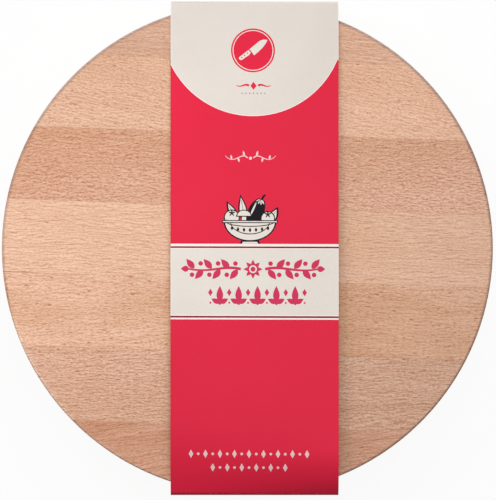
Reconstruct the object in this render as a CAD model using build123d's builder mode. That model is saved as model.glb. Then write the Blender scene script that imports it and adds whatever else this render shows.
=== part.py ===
from build123d import *
from math import cos, degrees, radians, sin
import os

# Round chopping block of glued beech staves, wrapped in a printed card sleeve.
# Millimetres, +Z up. The origin is on the table, under the middle of the block.
# The staves run along X, the sleeve goes round the block along Y.

# The block
block_radius = 170.0
block_thickness = 40.0
arris_radius = 2.0  # rounding of the top and bottom rims

# The blank of glued staves that the disc is cut from
stave_count = 7
trim_margin = 3.5  # least waste outside the disc, across the grain
blank_shift = 3.6  # how far the middle stave lies above the disc's centre
grain_skew = 1.9  # degrees that the staves are turned clockwise from X
glue_thickness = 0.15

# A finger groove in each end of the block, cut in from the rim by a round-nosed cutter
hold_height = 16.0
hold_depth = 13.0
hold_length = 110.0
hold_rim_radius = 1.2  # softened edge of the groove's mouth

# The card sleeve
card_thickness = 0.45
sleeve_width = 116.0
sleeve_shift = 5.0  # of the sleeve's middle from the block's, along X
top_clearance = 0.3  # between the block's top and the card
end_clearance = 0.35  # between the block's rim and the card
crease_radius = 0.8  # inside radius of the sharp folds
panel_slope = 1.0  # degrees that the slack front panel rises at, from its upper end to its crown
crown_slope = 22.0  # degrees that the crown falls to, at the lower end
flap_length = 25.0  # glue flap tucked inside, under the block
flap_seam = 2.5  # from the lower end wall to the cut edge of the base panel
glue_strip_width = 15.0
lap_glue_thickness = 0.1

# One overrun for every cut
overrun = 5.0

# Heights. The block rests on the glue flap, which is glued on top of the base panel.
flap_underside = card_thickness + lap_glue_thickness
block_bottom = flap_underside + card_thickness
block_top = block_bottom + block_thickness
block_middle = block_bottom + block_thickness / 2

# The sleeve's end walls, and the blank across the grain
wall_inside = block_radius + end_clearance
blank_side = 2 * (block_radius + blank_shift + trim_margin)
stave_width = blank_side / stave_count

grain_plane = Plane.XY.rotated((0, 0, -grain_skew))


def stave_centre(index):
    """Distance of a stave's middle from the disc's centre, across the grain, first stave uppermost."""
    return blank_shift + ((stave_count - 1) / 2 - index) * stave_width


# The blank: a disc with rounded rims and a finger groove at each end
nose_radius = hold_height / 2
groove_floor = block_radius - hold_depth
nose_centre = groove_floor + nose_radius
cutter_reach = block_radius + overrun
groove_half_angle = degrees((hold_length / 2 - nose_radius) / block_radius)


def outward(angle):
    """The direction from the block's middle to its rim, this many degrees round from +X."""
    return Vector(1, 0, 0).rotate(Axis.Z, angle)


with BuildPart() as blank:
    with BuildSketch(Plane.XY.offset(block_bottom)):
        Circle(block_radius)
    extrude(amount=block_thickness)
    fillet(blank.edges().filter_by(GeomType.CIRCLE), radius=arris_radius)
    for facing in (0, 180):
        groove_start = facing - groove_half_angle
        section = Plane((0, 0, block_middle), outward(groove_start), outward(groove_start - 90))
        with BuildSketch(section):
            with BuildLine():
                Line((cutter_reach, -nose_radius), (nose_centre, -nose_radius))
                ThreePointArc((nose_centre, -nose_radius), (groove_floor, 0), (nose_centre, nose_radius))
                Line((nose_centre, nose_radius), (cutter_reach, nose_radius))
                Line((cutter_reach, nose_radius), (cutter_reach, -nose_radius))
            make_face()
        revolve(axis=Axis.Z, revolution_arc=2 * groove_half_angle, mode=Mode.SUBTRACT)
        # The round-nosed cutter itself leaves the groove's two ends
        for end_angle in (facing - groove_half_angle, facing + groove_half_angle):
            nose = Plane((0, 0, block_middle), (0, 0, 1), outward(end_angle)).offset(nose_centre)
            with BuildSketch(nose):
                Circle(nose_radius)
            extrude(amount=cutter_reach - nose_centre, mode=Mode.SUBTRACT)
            with Locations(nose):
                Sphere(nose_radius, mode=Mode.SUBTRACT)
    rim = blank.faces().filter_by(GeomType.CYLINDER).sort_by(SortBy.AREA)[-1]
    mouth_reach = nose_radius + hold_rim_radius
    mouth_edges = rim.edges().filter_by_position(
        Axis.Z, block_middle - mouth_reach, block_middle + mouth_reach
    )
    fillet(mouth_edges, radius=hold_rim_radius)

os.makedirs("parts", exist_ok=True)

# Staves: slabs of the blank, each a glue film apart from the next
for index in range(stave_count):
    with BuildPart() as stave:
        add(blank.part)
        with BuildSketch(grain_plane):
            with Locations((0, stave_centre(index))):
                Rectangle(blank_side, stave_width - glue_thickness)
        extrude(amount=block_top + overrun, mode=Mode.INTERSECT)
    stave.part.label = f"stave_{index + 1}"
    export_step(stave.part, f"parts/stave_{index + 1}.step")

# Glue films between the staves
with BuildPart() as glue_lines:
    add(blank.part)
    with BuildSketch(grain_plane):
        for index in range(stave_count - 1):
            with Locations((0, stave_centre(index) - stave_width / 2)):
                Rectangle(blank_side, glue_thickness)
    extrude(amount=block_top + overrun, mode=Mode.INTERSECT)
glue_lines.part.label = "glue_lines"
export_step(glue_lines.part, "parts/glue_lines.step")

# The sleeve: one strip of card folded round the block. Its front panel is drawn from the top
# crease, a long straight rise, to the shoulder over the lower rim, by way of the crown.
shoulder_radius = arris_radius + end_clearance
crease_reach = wall_inside - crease_radius
crease_height = block_top + top_clearance - crease_radius
rise, fall = radians(panel_slope), radians(crown_slope)
across = crease_reach + crease_radius * sin(rise) + wall_inside - shoulder_radius * (1 - sin(fall))
up = crease_height + crease_radius * cos(rise) - (block_top - arris_radius + shoulder_radius * cos(fall))
crown_radius = (across * sin(rise) + up * cos(rise)) / (1 - cos(rise + fall))


def card_line(out):
    """Draw the folded card, this far out from its inner face, and give its two ends.

    It goes from the flap's free edge under the block, up the lower end wall, along the
    front panel, down the upper end wall and back along the base panel.
    """
    flap = Line((flap_length - wall_inside, block_bottom - out), (-crease_reach, block_bottom - out))
    flap_crease = JernArc(flap @ 1, flap % 1, crease_radius + out, -90)
    lower_wall = Line(flap_crease @ 1, (-wall_inside - out, block_top - arris_radius))
    shoulder = JernArc(lower_wall @ 1, lower_wall % 1, shoulder_radius + out, crown_slope - 90)
    crown = JernArc(shoulder @ 1, shoulder % 1, crown_radius + out, -crown_slope - panel_slope)
    crease = crease_radius + out
    front = Line(crown @ 1, (crease_reach + crease * sin(rise), crease_height + crease * cos(rise)))
    top_crease = JernArc(front @ 1, front % 1, crease, panel_slope - 90)
    upper_wall = Line(top_crease @ 1, (wall_inside + out, card_thickness + crease_radius))
    base_crease = JernArc(upper_wall @ 1, upper_wall % 1, crease_radius + out, -90)
    base = Line(base_crease @ 1, (flap_seam - wall_inside, card_thickness - out))
    return flap @ 0, base @ 1


with BuildPart() as card_sleeve:
    with BuildSketch(Plane.YZ.offset(sleeve_shift - sleeve_width / 2)):
        with BuildLine():
            inner_ends = card_line(0)
            outer_ends = card_line(card_thickness)
            for inner_end, outer_end in zip(inner_ends, outer_ends):
                Line(inner_end, outer_end)
        make_face()
    extrude(amount=sleeve_width)
card_sleeve.part.label = "card_sleeve"
export_step(card_sleeve.part, "parts/card_sleeve.step")

# The strip of glue between the flap and the base panel
strip_middle = (flap_seam + flap_length) / 2 - wall_inside
with BuildPart() as sleeve_glue:
    with BuildSketch(Plane.XY.offset(card_thickness)):
        with Locations((sleeve_shift, strip_middle)):
            Rectangle(sleeve_width, glue_strip_width)
    extrude(amount=lap_glue_thickness)
sleeve_glue.part.label = "sleeve_glue"
export_step(sleeve_glue.part, "parts/sleeve_glue.step")
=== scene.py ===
from collections import namedtuple
from math import cos, hypot, pi, radians, sin, tan

import bpy
import numpy as np
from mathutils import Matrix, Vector
from mathutils.geometry import delaunay_2d_cdt


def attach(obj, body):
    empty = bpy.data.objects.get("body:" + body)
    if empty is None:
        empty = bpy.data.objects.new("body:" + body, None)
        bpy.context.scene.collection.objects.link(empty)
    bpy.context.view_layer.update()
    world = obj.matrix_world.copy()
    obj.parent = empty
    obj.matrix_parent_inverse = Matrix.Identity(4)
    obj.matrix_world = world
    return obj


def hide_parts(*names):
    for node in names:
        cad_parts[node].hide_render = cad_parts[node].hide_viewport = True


# Looks of a round chopping block of glued beech staves in a printed card sleeve.
# Metres, in the row frame: +Z up, the staves along X, the sleeve round the block along Y.

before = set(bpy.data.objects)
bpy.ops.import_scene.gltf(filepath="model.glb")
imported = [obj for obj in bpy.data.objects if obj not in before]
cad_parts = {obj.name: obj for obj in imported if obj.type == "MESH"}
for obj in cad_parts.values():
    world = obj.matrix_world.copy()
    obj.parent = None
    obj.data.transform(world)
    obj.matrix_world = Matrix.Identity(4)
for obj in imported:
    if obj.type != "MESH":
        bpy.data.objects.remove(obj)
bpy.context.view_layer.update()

mm = 0.001

# The block, as in the part's source
block_radius = 170 * mm
block_bottom = 1.0 * mm
block_thickness = 40 * mm
block_top = block_bottom + block_thickness
block_middle = block_bottom + block_thickness / 2
arris_radius = 2 * mm
stave_count = 7
stave_width = 50.6 * mm
blank_shift = 3.6 * mm
grain_skew = radians(1.9)  # that the staves are turned clockwise from X

# The card sleeve, as in the part's source
card_thickness = 0.45 * mm
sleeve_width = 116 * mm
sleeve_shift = 5 * mm
top_clearance = 0.3 * mm
end_clearance = 0.35 * mm
crease_radius = 0.8 * mm
panel_slope = radians(1)  # that the front panel rises at, from its upper end to its crown
crown_slope = radians(22)  # that the crown falls to, at the lower end
left_slopes = (radians(0.8), radians(10))  # both at the left edge, as the card is a little twisted
flap_length = 25 * mm
flap_seam = 2.5 * mm

# The picture: its size in pixels, and where it shows the disc
picture_width = 496
picture_height = 500
pixel = 0.6915 * mm  # at the block's top
disc_column = 247.34
disc_row = 248.36

# The camera looks straight down
camera_distance = 1.5  # above the block's top
camera_x = (picture_width / 2 - disc_column) * pixel
camera_y = (disc_row - picture_height / 2) * pixel
camera_z = block_top + camera_distance
sensor = 36 * mm


def make_camera():
    camera = bpy.data.cameras.new("camera")
    camera.sensor_width = sensor / mm
    camera.lens = sensor / mm * camera_distance / (picture_height * pixel)
    camera.clip_start = 0.01
    holder = bpy.data.objects.new("camera", camera)
    holder.location = (camera_x, camera_y, camera_z)
    bpy.context.scene.collection.objects.link(holder)
    bpy.context.scene.camera = holder


make_camera()


# Shader nodes

mix_share, mix_first, mix_second, mix_result = 0, 6, 7, 2  # the Mix node's colour sockets


class Shading:
    """One material's nodes, each call adding one and giving the socket it ends in."""

    def __init__(self, name, gloss):
        self.material = bpy.data.materials.new(name)
        self.material.use_nodes = True
        self.tree = self.material.node_tree
        self.tree.nodes.clear()
        self.surface = self.node("BsdfPrincipled", {"Specular IOR Level": gloss})
        self.node("OutputMaterial", {"Surface": self.surface.outputs["BSDF"]})

    def feed(self, socket, value):
        if isinstance(value, bpy.types.NodeSocket):
            self.tree.links.new(value, socket)
        else:
            socket.default_value = value

    def node(self, kind, inputs, **settings):
        made = self.tree.nodes.new("ShaderNode" + kind)
        for key, value in settings.items():
            setattr(made, key, value)
        for key, value in inputs.items():
            self.feed(made.inputs[key], value)
        return made

    def math(self, operation, *terms):
        return self.node("Math", dict(enumerate(terms)), operation=operation).outputs[0]

    def vector(self, operation, *terms, output=0):
        made = self.node("VectorMath", dict(enumerate(terms)), operation=operation)
        return made.outputs[output]

    def place(self):
        return self.node("TexCoord", {}).outputs["Object"]

    def facing(self):
        return self.node("TexCoord", {}).outputs["Normal"]

    def parts(self, vector):
        """The vector's X, Y and Z."""
        return self.node("SeparateXYZ", {"Vector": vector}).outputs

    def noise(self, place, size, detail=2.0, roughness=0.5, coloured=False):
        """Noise whose lumps have this size along each axis, in metres."""
        inputs = {"Vector": self.vector("DIVIDE", place, size), "Scale": 1}
        inputs.update({"Detail": detail, "Roughness": roughness})
        return self.node("TexNoise", inputs).outputs["Color" if coloured else "Fac"]

    def ramp(self, value, low, high, start=0.0, end=1.0):
        """From start to end, smoothly, as the value goes from low to high."""
        inputs = {"Value": value, "From Min": low, "From Max": high, "To Min": start, "To Max": end}
        return self.node("MapRange", inputs, interpolation_type="SMOOTHSTEP").outputs[0]

    def tint(self, colour, share, shares):
        """The colour, multiplied by these shares of red, green and blue where share is 1."""
        inputs = {mix_share: share, mix_first: colour, mix_second: (*shares, 1)}
        made = self.node("Mix", inputs, data_type="RGBA", blend_type="MULTIPLY", clamp_factor=True)
        return made.outputs[mix_result]

    def brown(self, colour, share, depth):
        """The colour, darker and browner by this depth where share is 1."""
        return self.tint(colour, share, (1 - 0.60 * depth, 1 - depth, 1 - 1.15 * depth))

    def tan(self, colour, share, depth):
        """The colour, darker and more orange by this depth where share is 1."""
        return self.tint(colour, share, (1 - 0.55 * depth, 1 - 0.85 * depth, 1 - 1.25 * depth))

    def ripples(self, place, size, step):
        """Fine waves without broad patches: noise, less the same noise a step further across."""
        beside = self.vector("ADD", place, (0, step, 0))
        apart = self.math("SUBTRACT", self.noise(place, size, 0), self.noise(beside, size, 0))
        return self.ramp(apart, -0.18, 0.42)

    def wander(self, place, size, reach):
        """A shift that changes over this size, by up to half this reach each way."""
        unsteady = self.vector("SUBTRACT", self.noise(place, size, 1, coloured=True), (0.5,) * 3)
        return self.vector("MULTIPLY", unsteady, reach)

    def cover(self, colour, share, over):
        """The colour, covered by another where share is 1."""
        inputs = {mix_share: share, mix_first: colour, mix_second: (*over, 1)}
        return self.node("Mix", inputs, data_type="RGBA", clamp_factor=True).outputs[mix_result]

    def finish(self, colour, roughness, height, depth):
        """Ends the material. Height is from 0 to 1, and depth what that stands for, in metres."""
        self.feed(self.surface.inputs["Base Color"], colour)
        self.feed(self.surface.inputs["Roughness"], roughness)
        bump = self.node("Bump", {"Height": height, "Distance": depth, "Strength": 1})
        self.feed(self.surface.inputs["Normal"], bump.outputs["Normal"])
        return self.material


# Beech

beech_colour = (0.791, 0.524, 0.381)
blue_loss = 1.4  # how much more of its blue than of its green a redder stave lacks
wood_gloss = 0.23
wood_relief = 0.008 * mm
glue_gloss = 0.5
glue_relief = 0.03 * mm

# Each stave's own look, from the uppermost to the lowest
looks = {
    "lightness": (0.98, 1.21, 1.15, 1.32, 1.32, 1.18, 1.045),
    "redness": (0.01, -0.03, 0.05, -0.04, -0.02, -0.01, 0.135),
    # How much darker it gets from left to right, and how much less red and more blue
    "drift": (-0.12, 0.07, 0.01, 0.21, 0.24, 0.2, -0.02),
    "cooling": (0.03, 0.0, 0.07, 0.0, 0.0, 0.03, 0.12),
    # How much more orange it is just right of the card
    "amber": (0.0, 0.0, 0.0, 0.08, 0.22, 0.0, 0.0),
    # How much darker its upper side is than its lower
    "fade": (0.0, 0.08, 0.13, 0.03, -0.02, -0.03, -0.03),
    # Where the tree's middle lay, in millimetres across and above the stave's own middle
    "pith": ((-95, 12), (25, -110), (-20, -75), (-80, 70), (10, -120), (60, 80), (-28, -46)),
    # How many degrees its figure rises to the right
    "lean": (-4, -8, 0, 0, 1.5, 1.5, 11),
    # How strong its fine wavy lines are, and how long each is, in millimetres
    "ripples": (0.26, 0.25, 0.32, 0.29, 0.26, 0.36, 0.32),
    "length": (8.0, 6.0, 6.0, 9.0, 8.0, 7.0, 11.0),
    # How strong each other kind of mark is
    "speckle": (0.28, 0.35, 0.46, 0.28, 0.33, 0.44, 0.34),
    "rings": (0.3, 0.06, 0.06, 0.12, 0.06, 0.14, 0.3),
    "streaks": (0.45, 0.2, 0.18, 0.2, 0.22, 0.27, 0.45),
    "flecks": (0.25, 0.6, 0.4, 0.2, 0.95, 0.6, 0.4),
    "clouds": (0.6, 0.4, 0.4, 0.3, 0.9, 0.4, 1.2),
    # Where in the noise its figure is taken from
    "seed": (1.7, 5.3, 9.1, 14.2, 18.6, 23.5, 27.9),
}
Stave = namedtuple("Stave", looks)
staves = [Stave(*values) for values in zip(*looks.values())]

seed_shift = (0.31, 0.13, 0.07)  # metres that a seed of 1 moves the figure by

# How the fibres wander, in long bends and in short waves, and the rows of ripples apart: each
# shift changes over this size, by up to half this reach each way
bend_size, bend_reach = (110 * mm, 50 * mm, 50 * mm), (0, 9 * mm, 9 * mm)
wave_size, wave_reach = (16 * mm, 7 * mm, 9 * mm), (0, 3.2 * mm, 3 * mm)
row_size, row_reach = (30 * mm, 1.6 * mm, 2 * mm), (9 * mm, 0, 0)

# How long, wide and deep each kind of mark is in the wood
cloud_size = (90 * mm, 18 * mm, 30 * mm)
patch_size = (30 * mm, 11 * mm, 20 * mm)
streak_size = (90 * mm, 1.9 * mm, 4 * mm)
fibre_size = (11 * mm, 0.35 * mm, 0.4 * mm)
speckle_size = (1.5 * mm, 0.68 * mm, 2 * mm)
pore_size = (3 * mm, 0.35 * mm, 0.35 * mm)
ripple_width, ripple_depth = 0.78 * mm, 3 * mm  # each stave has its own length
ripple_step, speckle_step = 1.05 * mm, 0.95 * mm  # from one wave to the next, across

# Two kinds are taken from elsewhere in the noise, this far off
patch_shift = (3, 5, 7)
speckle_shift = (11, 13, 17)

# Ray flecks, a small and a large kind: the cell that holds one, and the fleck
small_cell, small_size = (5 * mm, 1.6 * mm, 9 * mm), (1.6 * mm, 0.42 * mm, 6 * mm)
spot_cell, spot_size = (14 * mm, 5 * mm, 12 * mm), (2.0 * mm, 0.6 * mm, 8 * mm)
fleck_share = 0.8  # of the cells that hold one

# Growth rings
ring_width = 3.1 * mm
ring_unevenness = 14 * mm
ring_lumps = (200 * mm, 30 * mm, 30 * mm)  # that they are uneven over
trunk_taper = 0.05

# The joint below this stave has opened a little where it reaches the rim at the left
open_joint = 3
open_height = (0.2 * mm - stave_width / 2, 0.7 * mm - stave_width / 2)
open_run = (0.04, 0.10)  # shares of the block's width

# Where the rounded rims' painted shade and painted highlight start and are full: in from the
# block's side and from its faces
rim_inset = (2.7 * mm, 1.3 * mm)
rim_depth = (3 * mm, 1.7 * mm)
# Painted shade on the rims at the upper side, and a painted highlight on them at the lower left
rim_shade_tint = (0.50, 0.56, 0.64)
rim_highlight_tint = (1.25, 1.45, 1.60)


def stave_centre(index):
    """Distance of a stave's middle from the disc's centre, across the grain, upward."""
    return blank_shift + ((stave_count - 1) / 2 - index) * stave_width


Grain = namedtuple("Grain", "local from_pith steady straight wavy staggered")


def find_grain(shade, stave, middle):
    """One stave's places, with the grain along X.

    local starts at the stave's middle and from_pith at the tree's. The others lean with the
    figure, each more unsteady than the one before.
    """
    inputs = {"Vector": shade.place(), "Angle": grain_skew}
    skewed = shade.node("VectorRotate", inputs, rotation_type="Z_AXIS").outputs[0]
    grain = shade.vector("SUBTRACT", skewed, middle)
    local = shade.parts(grain)
    rise = shade.math("MULTIPLY", local["X"], -tan(radians(stave.lean)))
    leaning = shade.vector("ADD", grain, shade.node("CombineXYZ", {"Y": rise}).outputs[0])
    steady = shade.vector("ADD", leaning, tuple(stave.seed * shift for shift in seed_shift))

    bends = shade.wander(steady, bend_size, bend_reach)
    waves = shade.wander(steady, wave_size, wave_reach)
    rows_apart = shade.wander(steady, row_size, row_reach)
    straight = shade.vector("ADD", steady, bends)
    wavy = shade.vector("ADD", straight, waves)
    staggered = shade.vector("ADD", wavy, rows_apart)

    across, above = (value * mm for value in stave.pith)
    from_pith = shade.vector("SUBTRACT", shade.vector("ADD", grain, bends), (0, across, above))
    return Grain(local, shade.parts(from_pith), steady, straight, wavy, staggered)


def late_wood(shade, grain):
    """1 at each growth ring's darker late edge, less in some years."""
    along, across, above = (grain.from_pith[axis] for axis in "XYZ")
    flat = shade.node("CombineXYZ", {"Y": across, "Z": above}).outputs[0]
    out = shade.vector("LENGTH", flat, output="Value")
    uneven = shade.math("MULTIPLY", shade.noise(grain.steady, ring_lumps), ring_unevenness)
    place = shade.math("ADD", shade.math("MULTIPLY_ADD", along, trunk_taper, out), uneven)
    years = shade.math("DIVIDE", place, ring_width)
    season = shade.math("FRACT", years)
    late = shade.math("MULTIPLY", shade.ramp(season, 0.35, 0.93), shade.ramp(season, 0.93, 1, 1, 0))
    inputs = {"W": shade.math("FLOOR", years)}
    depth = shade.node("TexWhiteNoise", inputs, noise_dimensions="1D").outputs["Value"]
    return shade.math("MULTIPLY", late, depth)


def flecks(shade, place, cell, size, seed):
    """Ray flecks: one small spindle in each cell, 1 in its middle, on a share of the cells."""
    scaled = shade.vector("ADD", shade.vector("DIVIDE", place, cell), (seed, seed * 2, seed * 3))
    cells = shade.node("TexVoronoi", {"Vector": scaled, "Scale": 1, "Randomness": 1})
    off = shade.vector("SUBTRACT", scaled, cells.outputs["Position"])
    reach = tuple(c / s for c, s in zip(cell, size))
    away = shade.vector("LENGTH", shade.vector("MULTIPLY", off, reach), output="Value")
    chance = shade.node("SeparateColor", {"Color": cells.outputs["Color"]}).outputs["Red"]
    chosen = shade.ramp(chance, 1 - fleck_share, 1 - fleck_share * 0.4)
    return shade.math("MULTIPLY", shade.ramp(away, 0.35, 1, 1, 0), chosen)


Marks = namedtuple("Marks", "clouds patches streaks late ripple speckle fibres small spots")


def find_marks(shade, stave, grain):
    """How strong each kind of mark is at each place of the stave."""
    ripple_size = (stave.length * mm, ripple_width, ripple_depth)
    patch_place = shade.vector("ADD", grain.steady, patch_shift)
    speckle_place = shade.vector("ADD", grain.staggered, speckle_shift)
    return Marks(
        clouds=shade.noise(grain.steady, cloud_size),
        patches=shade.noise(patch_place, patch_size),
        streaks=shade.noise(grain.straight, streak_size),
        late=late_wood(shade, grain),
        ripple=shade.ripples(grain.staggered, ripple_size, ripple_step),
        speckle=shade.ripples(speckle_place, speckle_size, speckle_step),
        fibres=shade.noise(grain.staggered, fibre_size),
        small=flecks(shade, grain.wavy, small_cell, small_size, stave.seed),
        spots=flecks(shade, grain.wavy, spot_cell, spot_size, stave.seed + 4),
    )


def board_colour(shade, stave, grain, run):
    """The stave's own colour, which changes across it, and along it as run goes from 0 to 1."""
    red, green, blue = (channel * stave.lightness for channel in beech_colour)
    colour = (red, green * (1 - stave.redness), blue * (1 - blue_loss * stave.redness), 1)
    darker = 1 - stave.drift
    at_right = (darker * (1 - stave.cooling), darker, darker * (1 + stave.cooling))
    colour = shade.tint(colour, run, at_right)
    amber = shade.math("MULTIPLY", shade.ramp(run, 0.2, 0.6), shade.ramp(run, 0.68, 0.9, 1, 0.2))
    colour = shade.tan(colour, amber, stave.amber)
    upper = shade.ramp(grain.local["Y"], -stave_width / 2, stave_width / 2)
    return shade.tan(colour, upper, stave.fade)


def marked(shade, stave, marks, colour):
    """The colour with the stave's marks on it."""
    colour = shade.tan(colour, shade.ramp(marks.clouds, 0.3, 0.7), 0.16 * stave.clouds)
    colour = shade.tan(colour, shade.ramp(marks.patches, 0.35, 0.65), 0.05 * stave.clouds)
    colour = shade.tan(colour, shade.ramp(marks.streaks, 0.42, 0.68), 0.34 * stave.streaks)
    colour = shade.tan(colour, marks.late, 0.32 * stave.rings)
    strength = shade.ramp(marks.patches, 0.3, 0.7, 0.88, 1.12)
    colour = shade.brown(colour, shade.math("MULTIPLY", marks.ripple, strength), stave.ripples)
    colour = shade.brown(colour, marks.speckle, stave.speckle)
    colour = shade.brown(colour, shade.ramp(marks.fibres, 0.3, 0.7), 0.10)
    colour = shade.brown(colour, marks.small, 0.40 * stave.flecks)
    return shade.brown(colour, marks.spots, 0.60 * stave.flecks**0.5)


def end_grain(shade, grain):
    """How far the surface cuts across the fibres, on the rim and in the grooves, and its pores."""
    along = (cos(grain_skew), -sin(grain_skew), 0)
    turned_to_end = shade.vector("DOT_PRODUCT", shade.facing(), along, output="Value")
    endness = shade.ramp(shade.math("ABSOLUTE", turned_to_end), 0.25, 0.9)
    pores = shade.noise(grain.steady, pore_size, 1)
    return endness, shade.math("MULTIPLY", endness, shade.ramp(pores, 0.5, 0.75))


def rim_shade_and_highlight(shade, colour):
    """The colour, with painted shade on the rounded rims at the upper side and a painted highlight
    on them at the lower left.
    """
    place = shade.place()
    parts = shade.parts(place)
    reach = shade.vector("LENGTH", shade.vector("MULTIPLY", place, (1, 1, 0)), output="Value")
    height = shade.math("ABSOLUTE", shade.math("SUBTRACT", parts["Z"], block_middle))
    outermost = shade.ramp(reach, *(block_radius - inset for inset in rim_inset))
    topmost = shade.ramp(height, *(block_thickness / 2 - depth for depth in rim_depth))
    rounded = shade.math("MULTIPLY", outermost, topmost)
    upper = shade.ramp(parts["Y"], -0.7 * block_radius, 0.7 * block_radius)
    diagonal = shade.math("ADD", parts["X"], parts["Y"])
    rim_highlight_share = shade.ramp(diagonal, -1.35 * block_radius, -1.15 * block_radius, 1, 0)
    # Painted shade on the upper rims, then a painted highlight on the lower left ones
    colour = shade.tint(colour, shade.math("MULTIPLY", rounded, upper), rim_shade_tint)
    return shade.tint(colour, shade.math("MULTIPLY", rounded, rim_highlight_share), rim_highlight_tint)


def beech(name, index):
    stave = staves[index]
    shade = Shading(name, wood_gloss)
    grain = find_grain(shade, stave, (0, stave_centre(index), block_middle))
    marks = find_marks(shade, stave, grain)
    endness, end_pores = end_grain(shade, grain)
    run = shade.math("MULTIPLY_ADD", grain.local["X"], 0.5 / block_radius, 0.5)
    colour = board_colour(shade, stave, grain, run)
    colour = marked(shade, stave, marks, colour)
    if index == open_joint:
        below = shade.ramp(grain.local["Y"], *open_height, 1, 0)
        at_rim = shade.ramp(run, *open_run, 1, 0)
        colour = shade.brown(colour, shade.math("MULTIPLY", below, at_rim), 0.7)
    colour = shade.brown(colour, endness, 0.28)
    colour = shade.brown(colour, end_pores, 0.28)
    # Painted shade and painted highlight on the rims
    colour = rim_shade_and_highlight(shade, colour)

    roughness = shade.math("MULTIPLY_ADD", marks.ripple, 0.10, 0.50)
    roughness = shade.math("MULTIPLY_ADD", endness, 0.14, roughness)
    height = shade.math("MULTIPLY", marks.ripple, -0.4)
    reliefs = ((marks.speckle, -0.4), (marks.fibres, 0.4), (marks.spots, -0.4), (end_pores, -0.8))
    for mark, relief in reliefs:
        height = shade.math("MULTIPLY_ADD", mark, relief, height)
    return shade.finish(colour, roughness, height, wood_relief)


def glue_film():
    """Dried wood glue, with a little sawdust in it."""
    shade = Shading("wood_glue", glue_gloss)
    place = shade.place()
    cloud = shade.noise(place, (20 * mm, 4 * mm, 4 * mm), 3)
    dust = shade.noise(place, (0.6 * mm,) * 3)
    colour = shade.tint((0.52, 0.29, 0.16, 1), cloud, (0.72, 0.66, 0.6))
    colour = shade.tint(colour, shade.ramp(dust, 0.5, 0.7), (1.15, 1.2, 1.2))
    return shade.finish(colour, shade.ramp(dust, 0.3, 0.7, 0.32, 0.5), dust, glue_relief)


def dress_block():
    for index in range(stave_count):
        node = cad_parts[f"stave_{index + 1}"]
        node.material_slots[0].material = beech(f"beech_{index + 1}", index)
    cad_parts["glue_lines"].material_slots[0].material = glue_film()


dress_block()


# The folded card

crease_steps = 6
crown_steps = 20
shoulder_steps = 8
bend_apart = 0.4 * mm  # the least that two bend lines lie apart

wall_inside = block_radius + end_clearance
sleeve_left = sleeve_shift - sleeve_width / 2
sleeve_right = sleeve_shift + sleeve_width / 2

Row = namedtuple("Row", "s y z out_y out_z")


def fold_rows(rise, fall):
    """The card's outer face in section, from the base panel's cut edge round to the flap's.

    The front panel rises and falls at these angles. s is the distance along the card, and
    out_y and out_z the way out of its face.
    """
    outer_crease = crease_radius + card_thickness
    shoulder_radius = arris_radius + end_clearance
    crease_reach = wall_inside - crease_radius
    crease_height = block_top + top_clearance - crease_radius
    shoulder_y = shoulder_radius * (1 - sin(fall)) - wall_inside
    shoulder_z = block_top - arris_radius + shoulder_radius * cos(fall)
    across = crease_reach + crease_radius * sin(rise) - shoulder_y
    up = crease_height + crease_radius * cos(rise) - shoulder_z
    crown_radius = (across * sin(rise) + up * cos(rise)) / (1 - cos(rise + fall))
    front_length = across * cos(rise) - up * sin(rise) - crown_radius * sin(rise + fall)
    runs = [  # (straight length, then angle turned to the left, its radius, steps)
        (crease_reach + wall_inside - flap_seam, pi / 2, outer_crease, crease_steps),
        (crease_height - outer_crease, pi / 2 - rise, outer_crease, crease_steps),
        (front_length, rise + fall, crown_radius + card_thickness, crown_steps),
        (0, pi / 2 - fall, shoulder_radius + card_thickness, shoulder_steps),
        (block_thickness - arris_radius - crease_radius, pi / 2, outer_crease, crease_steps),
        (flap_length - crease_radius, 0, 0, 0),
    ]
    s, y, z, heading = 0.0, flap_seam - wall_inside, 0.0, 0.0
    rows = [Row(s, y, z, sin(heading), -cos(heading))]
    for straight, turn, radius, steps in runs:
        if straight:
            s += straight
            y += straight * cos(heading)
            z += straight * sin(heading)
            rows.append(Row(s, y, z, sin(heading), -cos(heading)))
        centre_y = y - radius * sin(heading)
        centre_z = z + radius * cos(heading)
        for _ in range(steps):
            heading += turn / steps
            s += abs(radius * turn) / steps
            y = centre_y + radius * sin(heading)
            z = centre_z - radius * cos(heading)
            rows.append(Row(s, y, z, sin(heading), -cos(heading)))
    return rows


left_rows = fold_rows(*left_slopes)
right_rows = fold_rows(panel_slope, crown_slope)
sleeve_end = right_rows[-1].s

# The lines that the card bends along, right across it, from one cut edge to the other
bend_lines = [row.s for row in right_rows]
bend_lines += [row.s for row in left_rows if min(abs(row.s - s) for s in bend_lines) > bend_apart]
bend_lines = sorted(s for s in bend_lines if s <= sleeve_end)


def section(rows):
    """The section's y, z, out_y and out_z, each at every bend line."""
    places = [row.s * sleeve_end / rows[-1].s for row in rows]
    return np.array([np.interp(bend_lines, places, values) for values in list(zip(*rows))[1:]])


left_section = section(left_rows)
right_section = section(right_rows)


def folded(x, s):
    """A point of the flat card, on the outer face of the folded one, with the way out there."""
    share = (x - sleeve_left) / sleeve_width
    fields = (1 - share) * left_section + share * right_section
    y, z, out_y, out_z = (np.interp(s, bend_lines, field) for field in fields)
    return Vector((x, y, z)), Vector((0, out_y, out_z)).normalized()


def on_blank(column, line):
    """The point of the flat card that the picture shows at this pixel of the front panel."""
    aside = column - picture_width / 2
    x = camera_x + aside * pixel
    front = [(s, folded(x, s)[0]) for s in bend_lines]
    front = [(s, point) for s, point in front if point.z > block_top]
    zoom = [camera_distance / (camera_z - point.z) / pixel for _, point in front]
    lines = [
        picture_height / 2 - (point.y - camera_y) * near for (_, point), near in zip(front, zoom)
    ]
    s = np.interp(line, lines, [s for s, _ in front])
    return camera_x + aside / np.interp(line, lines, zoom), s


# The print

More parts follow.
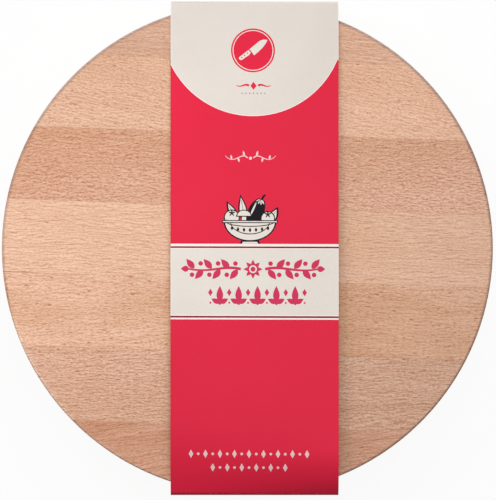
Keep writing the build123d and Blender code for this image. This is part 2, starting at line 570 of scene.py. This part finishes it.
# Where the picture shows the middle of each design, in pixels across and down
cap_place = (252.9, 24.97)
badge_place = (253, 50.5)
small_rule_place = (253.5, 86)
flourish_place = (250.5, 158.5)
bowl_place = (250, 244)  # of its foot
frieze_place = (253, 269.5)
leaf_row_place = (257.5, 296)
foot_row_places = ((249, 454), (249, 467.6))

# The cream band, and each of its stripes, in pixels down the picture
band_top = 249.4
band_bottom = 315.0
stripes = (
    (244.15, 246.75, "white"),
    (246.75, 248.45, "rule"),
    (248.45, band_top, "white"),
    (band_top, band_bottom, "cream"),
    (band_bottom, 316.25, "white"),
    (316.25, 318.05, "rule"),
    (318.05, 319.75, "white"),
)

# The rest is in millimetres on the card, and leans in degrees
cap_radius = 62.6
cap_line = 0.5  # of white round the cap
cap_reach = 24.5  # of its margins, along the card each way from its middle
margin = 0.4  # width of the white lines along the cut edges
badge_rings = ((15.2, "red"), (14.1, "cream"), (13.5, "red"))  # (radius, ink)
knife_size, knife_lean, knife_shift = 1.15, 38, (0.2, 0.4)
bowl_size = 1.12
aubergine_lean, aubergine_place = -24, (3.6, 19.5)
leaf_step = 13.0
lozenge_step = 5.0

prints = []  # (outline on the flat card, ink), the later over the earlier


def stamp(outline, ink, at):
    """Prints an outline in millimetres, x to the right and y up, round this point of the card."""
    prints.append(([(at[0] + x * mm, at[1] - y * mm) for x, y in outline], ink))


def strip(left, right, start, end):
    """A rectangle of the flat card, in metres."""
    return [(left, start), (right, start), (right, end), (left, end)]


def box(left, right, low, high):
    return [(left, low), (right, low), (right, high), (left, high)]


def oval(x, y, wide, high=None, start=0, end=360, steps=40):
    """An ellipse, or the part of it between two angles in degrees."""
    high = wide if high is None else high
    count = steps if end - start == 360 else steps + 1
    turns = [radians(start + (end - start) * step / steps) for step in range(count)]
    return [(x + wide * cos(turn), y + high * sin(turn)) for turn in turns]


def lozenge(x, y, wide, high):
    return [(x - wide, y), (x, y - high), (x + wide, y), (x, y + high)]


def turned(outline, degrees, x=0.0, y=0.0):
    """The outline, turned about the origin and then moved."""
    c, s = cos(radians(degrees)), sin(radians(degrees))
    return [(x + c * px - s * py, y + s * px + c * py) for px, py in outline]


def leaf(x, y, length, width, degrees, steps=9):
    """A pointed leaf that grows from x, y in this direction."""
    shares = [step / steps for step in range(steps + 1)]
    upper = [(length * share, width / 2 * sin(pi * share**0.8)) for share in shares]
    lower = [(px, -py) for px, py in upper[-2:0:-1]]
    return turned(upper + lower, degrees, x, y)


def bend(a, b, c, d, steps=14):
    """Points along a cubic curve."""
    made = []
    for step in range(steps + 1):
        t = step / steps
        weights = ((1 - t) ** 3, 3 * t * (1 - t) ** 2, 3 * t * t * (1 - t), t**3)
        corners = list(zip(weights, (a, b, c, d)))
        made.append(tuple(sum(weight * p[axis] for weight, p in corners) for axis in (0, 1)))
    return made


def stroke(points, width, tip=None):
    """A pen stroke along points, whose width goes to that of its tip."""
    tip = width if tip is None else tip
    left, right = [], []
    for place, (x, y) in enumerate(points):
        before = points[max(place - 1, 0)]
        after = points[min(place + 1, len(points) - 1)]
        dx, dy = after[0] - before[0], after[1] - before[1]
        half = (width + (tip - width) * place / (len(points) - 1)) / 2 / hypot(dx, dy)
        left.append((x - dy * half, y + dx * half))
        right.append((x + dy * half, y - dx * half))
    return left + right[::-1]


def scaled(outline, size):
    return [(x * size, y * size) for x, y in outline]


def mirrored(outline):
    return [(-x, y) for x, y in outline]


def line_on_blank(line):
    """How far along the card this line of the picture lies."""
    return on_blank(picture_width / 2, line)[1]


def print_ground():
    """The red ground, the cream cap that runs over the top fold, and the cream band."""
    prints.append((strip(sleeve_left, sleeve_right, 0, sleeve_end), "red"))
    cap = on_blank(*cap_place)
    stamp(oval(0, 0, cap_radius + cap_line, steps=120), "white", cap)
    # The cap is printed in the darker cream, which is painted shade
    stamp(oval(0, 0, cap_radius, steps=120), "cap", cap)
    for top, bottom, ink in stripes:
        start, end = line_on_blank(top), line_on_blank(bottom)
        prints.append((strip(sleeve_left, sleeve_right, start, end), ink))


def print_badge():
    """A round red badge with a kitchen knife on it."""
    at = on_blank(*badge_place)

    def lay(outline, ink):
        stamp(turned(scaled(outline, knife_size), knife_lean, *knife_shift), ink, at)

    for radius, ink in badge_rings:
        stamp(oval(0, 0, radius, steps=64), ink, at)
    blade = [(-1.6, 1.7), (5.5, 1.9)]
    blade += bend((5.5, 1.9), (7.8, 1.8), (9.3, 1.0), (10.3, -0.6), 8)[1:]
    blade += bend((10.3, -0.6), (7.5, -2.2), (4.0, -2.9), (-1.6, -2.9), 10)[1:]
    grip = [(-2.3, 1.7), (-2.3, -0.5), (-4.0, -0.9), (-8.6, -0.6)]
    grip += bend((-8.6, -0.6), (-10.2, -0.9), (-10.6, 1.3), (-9.4, 1.7), 8)[1:]
    lay(blade, "cream")
    lay(grip, "cream")
    for rivet in (-4.0, -6.2, -8.4):
        lay(oval(rivet, 0.6, 0.42, steps=12), "red")


def print_small_rule():
    """A small rule below the badge, with a row of dots."""
    at = on_blank(*small_rule_place)
    stamp(lozenge(0, 0, 2.1, 2.8), "red", at)
    arm = stroke(bend((3.2, 0), (6.0, 2.3), (8.2, -1.9), (12.0, 0.3)), 1.6, 0.5)
    for outline in (arm, mirrored(arm)):
        stamp(outline, "red", at)
    for place in range(-3, 4):
        stamp(oval(place * 2.6, -5.2, 0.45, steps=10), "grey", at)


def print_flourish():
    """A small curly line of leaves."""
    at = on_blank(*flourish_place)
    stamp(oval(0, 0, 1.1, steps=20), "pale", at)
    curl = bend((2.0, 0.2), (6.5, 5.2), (11.0, -5.4), (17.4, 1.6), 18)
    sprigs = [
        stroke(curl, 0.8, 0.35),
        leaf(4.2, 1.7, 3.6, 1.5, 75),
        leaf(8.6, 0.4, 3.4, 1.4, -105),
        leaf(13.0, -0.9, 3.4, 1.4, 80),
    ]
    for outline in sprigs:
        stamp(outline, "pale", at)
        stamp(mirrored(outline), "pale", at)


def print_still_life():
    """A bowl of vegetables in black line on cream, standing on the white line of the band."""
    at = on_blank(*bowl_place)

    def put(outline, ink):
        stamp(scaled(outline, bowl_size), ink, at)

    def drawn(outer, inner):
        put(outer, "black")
        put(inner, "cream")

    # Leaves behind
    for x, degrees, length in ((-7.5, 118, 15), (-3.2, 99, 17.5), (12.2, 62, 11)):
        drawn(leaf(x, 13, length, 5.6, degrees, 14), leaf(x, 13.4, length - 2.2, 4.0, degrees, 14))
        tip = turned([(length - 3.2, 0)], degrees, x, 13)[0]
        put(stroke(bend((x, 13.6), (x, 15), (x, 15), tip, 6), 0.5, 0.25), "black")
    # An aubergine, leaning
    put(turned(oval(0, 0, 5.0, 8.6, steps=44), aubergine_lean, *aubergine_place), "black")
    put(turned(oval(-2.2, 1.2, 0.55, 4.4, steps=20), aubergine_lean, *aubergine_place), "cream")
    for degrees in (-165, -130, -95, -60):
        drawn(leaf(7.1, 27.4, 4.6, 2.2, degrees, 8), leaf(7.0, 27.2, 3.5, 1.1, degrees, 8))
    put(stroke(bend((7.1, 27.0), (7.9, 28.6), (8.4, 29.4), (9.5, 30.2), 6), 1.5, 1.1), "black")
    # A tomato on each side and a mushroom between
    for x, y, size in ((-11.2, 16.2, 4.9), (11.0, 15.6, 4.5)):
        drawn(oval(x, y, size, steps=36), oval(x, y, size - 0.65, steps=36))
        for degrees in range(18, 378, 72):
            put(leaf(x, y + size * 0.55, 2.4, 0.9, degrees, 6), "black")
        put(stroke(oval(x, y, size * 0.7, start=200, end=262, steps=8), 0.4), "black")
    drawn(box(-5.6, -1.8, 11, 17.5), box(-5.0, -2.4, 11, 17.5))
    drawn(oval(-3.7, 16.6, 4.9, 4.4, 0, 180, 24), oval(-3.7, 17.2, 4.1, 3.2, 0, 180, 24))
    # The bowl in front, with a foot, two hoops and a row of lozenges
    put([(-6.4, 0), (6.4, 0), (5.2, 2.6), (-5.2, 2.6)], "black")
    put([(-5.0, 0.0), (5.0, 0.0), (4.4, 1.2), (-4.4, 1.2)], "cream")
    drawn(oval(0, 13.6, 16.2, 12.2, 180, 360, 40), oval(0, 13.6, 15.3, 11.4, 180, 360, 40))
    for depth, wide in ((2.9, 14.9), (7.6, 12.0)):
        put(stroke(oval(0, 13.6, wide, depth, 183, 357, 30), 0.55), "black")
    for place in range(-3, 4):
        put(lozenge(place * 3.7, 8.4 + 0.13 * place * place, 0.9, 1.5), "black")
    drawn(box(-17.2, 17.2, 12.7, 14.5), box(-16.6, 16.6, 13.25, 13.95))


def print_frieze():
    """A twig of leaves and berries to each side of a flower, in the cream band."""
    at = on_blank(*frieze_place)
    for degrees in range(0, 360, 45):
        stamp(leaf(0, 0, 6.6, 3.0, degrees), "rose", at)
    stamp(oval(0, 0, 2.7, steps=28), "cream", at)
    stamp(oval(0, 0, 1.7, steps=24), "rose", at)
    twig = [stroke(bend((8.4, 0), (20, 3.2), (30, -3.2), (45, 0.3), 30), 2.0, 1.2)]
    for step in range(6):
        x = 10.5 + step * 6.0
        up = 1 if step % 2 else -1
        twig.append(leaf(x, 0.4 * up, 8.6, 4.4, 50 * up))
        twig.append(oval(x + 1.6, -3.9 * up, 1.6, steps=18))
    twig.append(leaf(44.0, 0.2, 5.8, 4.2, 0))
    for outline in twig + [mirrored(outline) for outline in twig]:
        stamp(outline, "rose", at)


def print_leaf_row():
    """A row of leaves low in the cream band, with lozenges and dots between them."""
    at = on_blank(*leaf_row_place)
    for place in range(-2, 3):
        x = place * leaf_step
        stamp(leaf(x, -4.6, 11.4, 4.6, 90), "rose", at)
        for degrees in (28, 152):
            stamp(leaf(x, -5.2, 6.6, 3.6, degrees), "rose", at)
        stamp(oval(x, -5.4, 1.0, steps=16), "rose", at)
    for place in (-2.5, -1.5, -0.5, 0.5, 1.5, 2.5):
        stamp(lozenge(place * leaf_step, 2.2, 1.6, 2.6), "rose", at)
        stamp(oval(place * leaf_step, -4.9, 0.7, steps=12), "rose", at)


def print_foot_rows():
    """Two rows of small lozenges and dots near the lower end."""
    for foot_place, count in zip(foot_row_places, (17, 11)):
        at = on_blank(*foot_place)
        for place in range(count):
            x = (place - (count - 1) / 2) * lozenge_step
            outline = oval(x, 0, 0.95, steps=14) if place % 2 else lozenge(x, 0, 1.6, 2.9)
            stamp(outline, "pale", at)


def print_margins():
    """A fine white line where the cream cap and band end at the long cut edges."""
    fine, reach = margin * mm, cap_reach * mm
    cap = on_blank(*cap_place)[1]
    lengths = ((cap - reach, cap + reach), (line_on_blank(band_top), line_on_blank(band_bottom)))
    for start, end in lengths:
        for left, right in ((sleeve_left, sleeve_left + fine), (sleeve_right - fine, sleeve_right)):
            prints.append((strip(left, right, start, end), "white"))


for design in (
    print_ground,
    print_badge,
    print_small_rule,
    print_flourish,
    print_still_life,
    print_frieze,
    print_leaf_row,
    print_foot_rows,
    print_margins,
):
    design()


# Inks and card

inks = {
    "red": (0.725, 0.012, 0.049),
    "cream": (0.78, 0.73, 0.66),
    # The cap's ink is the cream darkened: painted shade at the card's upper end
    "cap": (0.735, 0.685, 0.625),
    "white": (0.92, 0.84, 0.785),
    "rule": (0.27, 0.012, 0.034),
    "rose": (0.60, 0.028, 0.095),
    "pale": (0.86, 0.62, 0.62),
    "black": (0.007, 0.006, 0.010),
    "grey": (0.22, 0.18, 0.18),
    "core": (0.84, 0.80, 0.74),
    "inside": (0.70, 0.68, 0.63),
}

# (roughness, relief) of printed card and of bare card
printed_surface = (0.42, 0.02 * mm)
bare_surface = (0.75, 0.05 * mm)

card_gloss = 0.21
dark_ink, dark_gloss = 0.3, 0.08  # an ink with no channel above this shines less
corner_shade_reach = (0.1, 0.17)  # along Y, where the painted shade at its upper left corner starts and is darkest


def card(name, ink, roughness, relief):
    """Printed card: the ink lies slightly uneven on the fibres, and painted shade darkens it along
    the folds and at the upper left corner.
    """
    shade = Shading(name, dark_gloss if max(ink) < dark_ink else card_gloss)
    place = shade.place()
    cloud = shade.noise(place, (50 * mm,) * 3, 3)
    mottle = shade.noise(place, (1.2 * mm,) * 3, 3, 0.6)
    fibres = shade.noise(place, (0.9 * mm, 0.18 * mm, 0.25 * mm))
    colour = shade.tint((*ink, 1), shade.ramp(cloud, 0.3, 0.7), (0.97, 0.95, 0.95))
    colour = shade.tint(colour, shade.ramp(mottle, 0.4, 0.7), (0.975, 0.96, 0.96))

    # Painted shade darkens its upper left corner a little
    parts = shade.parts(place)
    left = shade.ramp(parts["X"], sleeve_left, sleeve_right, 1, 0)
    corner = shade.math("MULTIPLY", left, shade.ramp(parts["Y"], *corner_shade_reach))
    colour = shade.tint(colour, corner, (0.89, 0.88, 0.885))

    # Painted shade darkens the folds too, and they are rubbed down to the card in places
    faces = shade.parts(shade.facing())
    fold = shade.math("ABSOLUTE", shade.math("MULTIPLY", faces["Y"], faces["Z"]))
    # Painted shade along the folds
    colour = shade.tint(colour, shade.ramp(fold, 0.2, 0.42), (0.70, 0.68, 0.67))
    rubbed = shade.math("MULTIPLY", shade.ramp(fold, 0.3, 0.5), shade.ramp(mottle, 0.52, 0.66))
    colour = shade.cover(colour, shade.math("MULTIPLY", rubbed, 0.15), inks["core"])
    rough = shade.math("MULTIPLY_ADD", fibres, 0.12, roughness)
    return shade.finish(colour, rough, shade.math("MULTIPLY_ADD", mottle, 0.5, fibres), relief)


def card_glue():
    shade = Shading("card_glue", glue_gloss)
    swirl = shade.noise(shade.place(), (12 * mm, 3 * mm, 3 * mm), 3)
    colour = shade.tint((0.66, 0.60, 0.48, 1), swirl, (0.88, 0.84, 0.76))
    return shade.finish(colour, shade.ramp(swirl, 0.3, 0.7, 0.3, 0.5), swirl, glue_relief)


# The sleeve's mesh

keep_inside = 1  # the triangulation's way: what lies inside the outlines
weld = 1e-4  # millimetres
tiny = 1e-7


def flat_triangles():
    """The printed face, still flat: its points, its triangles and each one's ink."""
    points, edges, faces = [], [], []
    for outline, ink in prints:
        first = len(points)
        area = sum(a[0] * b[1] - b[0] * a[1] for a, b in zip(outline, outline[1:] + outline[:1]))
        points += [Vector((x / mm, s / mm)) for x, s in outline[:: 1 if area > 0 else -1]]
        faces.append(list(range(first, len(points))))
    for s in bend_lines[1:-1]:
        first = len(points)
        points += [Vector((sleeve_left / mm, s / mm)), Vector((sleeve_right / mm, s / mm))]
        edges.append((first, first + 1))
    points, _, triangles, _, _, sources = delaunay_2d_cdt(points, edges, faces, keep_inside, weld)
    kept = [
        (face, prints[max(source)][1]) for face, source in zip(triangles, sources) if 0 in source
    ]
    return points, kept


class Shell:
    """The sleeve's mesh as it grows: its points, and its faces with their inks and normals."""

    def __init__(self):
        self.points, self.faces, self.inks, self.normals = [], [], [], []

    def add(self, corners, ink, normals):
        self.faces.append(corners)
        self.inks.append(ink)
        self.normals.extend(normals)


def add_printed_face(shell):
    """The outer face. Gives the place of each of its points on the flat card."""
    flat, triangles = flat_triangles()
    used = sorted({corner for face, _ in triangles for corner in face})
    number = {corner: place for place, corner in enumerate(used)}
    blank, ways = [], []
    for corner in used:
        x, s = (value * mm for value in flat[corner])
        point, way = folded(x, s)
        shell.points.append(point)
        ways.append(way)
        blank.append((x, s))
    for face, ink in triangles:
        corners = [number[corner] for corner in reversed(face)]
        shell.add(corners, ink, [ways[corner] for corner in corners])
    return blank


def add_bare_face(shell):
    """The inner face, a strip from each bend line to the next. Gives each line's two points."""
    pairs, ways = [], []
    for s in bend_lines:
        pair, pair_ways = [], []
        for x in (sleeve_left, sleeve_right):
            point, way = folded(x, s)
            pair.append(len(shell.points))
            pair_ways.append(-way)
            shell.points.append(point - card_thickness * way)
        pairs.append(pair)
        ways.append(pair_ways)
    for (a, b), (c, d), (way_a, way_b), (way_c, way_d) in zip(pairs, pairs[1:], ways, ways[1:]):
        shell.add([a, b, d, c], "inside", [way_a, way_b, way_d, way_c])
    return pairs


def add_long_edges(shell, blank, inner):
    """The long cut edges, a face from each bend line to the next."""
    for side, x in enumerate((sleeve_left, sleeve_right)):
        rim = [point for point, (column, _) in enumerate(blank) if abs(column - x) < tiny]
        rim.sort(key=lambda point: blank[point][1])
        way = Vector((1 if side else -1, 0, 0))
        for start, end, low, high in zip(bend_lines, bend_lines[1:], inner, inner[1:]):
            part = [point for point in rim if start - tiny < blank[point][1] < end + tiny]
            corners = part + [high[side], low[side]]
            shell.add(corners if side else corners[::-1], "core", [way] * len(corners))


def add_short_edges(shell, blank, inner):
    """The short cut edges, the base panel's and the flap's."""
    for s, pair, first in ((0, inner[0], True), (sleeve_end, inner[-1], False)):
        rim = [point for point, (_, along) in enumerate(blank) if abs(along - s) < tiny]
        rim.sort(key=lambda point: blank[point][0])
        corners = rim + pair[::-1]
        _, out = folded(sleeve_left, s)
        way = Vector((0, -out.z, out.y)) * (-1 if first else 1)
        shell.add(corners if first else corners[::-1], "core", [way] * len(corners))


def build_sleeve():
    """The folded card: printed outer face, bare inner face and pale cut edges, one closed mesh."""
    shell = Shell()
    blank = add_printed_face(shell)
    inner = add_bare_face(shell)
    add_long_edges(shell, blank, inner)
    add_short_edges(shell, blank, inner)

    mesh = bpy.data.meshes.new("printed_sleeve")
    mesh.from_pydata(shell.points, [], shell.faces)
    names = list(inks)
    for name in names:
        surface = bare_surface if name in ("core", "inside") else printed_surface
        mesh.materials.append(card("card_" + name, inks[name], *surface))
    mesh.polygons.foreach_set("material_index", [names.index(ink) for ink in shell.inks])
    mesh.polygons.foreach_set("use_smooth", [True] * len(shell.faces))
    mesh.normals_split_custom_set([tuple(way) for way in shell.normals])
    mesh.update()
    sleeve = bpy.data.objects.new("printed_sleeve", mesh)
    bpy.context.scene.collection.objects.link(sleeve)
    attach(sleeve, "sleeve")
    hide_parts("card_sleeve")


build_sleeve()
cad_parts["sleeve_glue"].material_slots[0].material = card_glue()


# Floor and light

floor_reach = 3.0
floor_colour = (0.9, 0.9, 0.9, 1)
floor_white = 0.93  # the share of plain white in it, the rest keeps the shadow
even_light = 0.118


def end_in_white(tree, ordinary, white, share, output):
    """Ends a material or world in its ordinary shader, or by this share in its white one.

    The white is seen by rays from the camera, and by those that are reflected or let through.
    """
    path = tree.nodes.new("ShaderNodeLightPath").outputs
    seen = path["Is Camera Ray"]
    for kind in ("Is Glossy Ray", "Is Transmission Ray"):
        either = tree.nodes.new("ShaderNodeMath")
        either.operation = "MAXIMUM"
        tree.links.new(seen, either.inputs[0])
        tree.links.new(path[kind], either.inputs[1])
        seen = either.outputs[0]
    part = tree.nodes.new("ShaderNodeMath")
    part.operation = "MULTIPLY"
    part.inputs[1].default_value = share
    tree.links.new(seen, part.inputs[0])
    mix = tree.nodes.new("ShaderNodeMixShader")
    tree.links.new(part.outputs[0], mix.inputs["Fac"])
    tree.links.new(ordinary.outputs[0], mix.inputs[1])
    tree.links.new(white.outputs[0], mix.inputs[2])
    tree.links.new(mix.outputs[0], tree.nodes.new(output).inputs["Surface"])


def make_floor():
    """A plain pale floor that shows white to the camera and keeps a soft shadow."""
    corners = box(-floor_reach, floor_reach, -floor_reach, floor_reach)
    mesh = bpy.data.meshes.new("floor")
    mesh.from_pydata([(x, y, 0) for x, y in corners], [], [(0, 1, 2, 3)])
    material = bpy.data.materials.new("floor")
    material.use_nodes = True
    tree = material.node_tree
    tree.nodes.clear()
    paint = tree.nodes.new("ShaderNodeBsdfDiffuse")
    paint.inputs["Color"].default_value = floor_colour
    white = tree.nodes.new("ShaderNodeEmission")
    white.inputs["Color"].default_value = (1, 1, 1, 1)
    white.inputs["Strength"].default_value = 1
    end_in_white(tree, paint, white, floor_white, "ShaderNodeOutputMaterial")
    mesh.materials.append(material)
    floor = bpy.data.objects.new("floor", mesh)
    bpy.context.scene.collection.objects.link(floor)


def make_world():
    """Even light from all round, which the camera sees as white."""
    world = bpy.data.worlds.new("world")
    bpy.context.scene.world = world
    world.use_nodes = True
    tree = world.node_tree
    tree.nodes.clear()
    backgrounds = []
    for strength in (even_light, 1):
        background = tree.nodes.new("ShaderNodeBackground")
        background.inputs["Color"].default_value = (1, 1, 1, 1)
        background.inputs["Strength"].default_value = strength
        backgrounds.append(background)
    end_in_white(tree, *backgrounds, 1, "ShaderNodeOutputWorld")


def make_lamp(name, distance, azimuth, elevation, size, watts):
    """A square softbox that faces the block, this far off, these degrees round from +X and up."""
    target = Vector((0, 0, block_top))
    level = distance * cos(radians(elevation))
    away = (
        level * cos(radians(azimuth)),
        level * sin(radians(azimuth)),
        distance * sin(radians(elevation)),
    )
    lamp = bpy.data.lights.new(name, "AREA")
    lamp.shape = "SQUARE"
    lamp.size = size
    lamp.energy = watts
    holder = bpy.data.objects.new(name, lamp)
    holder.location = target + Vector(away)
    holder.rotation_euler = (target - holder.location).to_track_quat("-Z", "Y").to_euler()
    holder.visible_camera = False
    bpy.context.scene.collection.objects.link(holder)


make_floor()
make_world()
make_lamp("softbox_left", distance=3.0, azimuth=138, elevation=22, size=2.1, watts=79)
make_lamp("softbox_right", distance=3.0, azimuth=72, elevation=21, size=2.1, watts=79)
make_lamp("softbox_above", distance=0.55, azimuth=0, elevation=87, size=0.5, watts=1.1)
bpy.context.scene.view_settings.view_transform = "Standard"
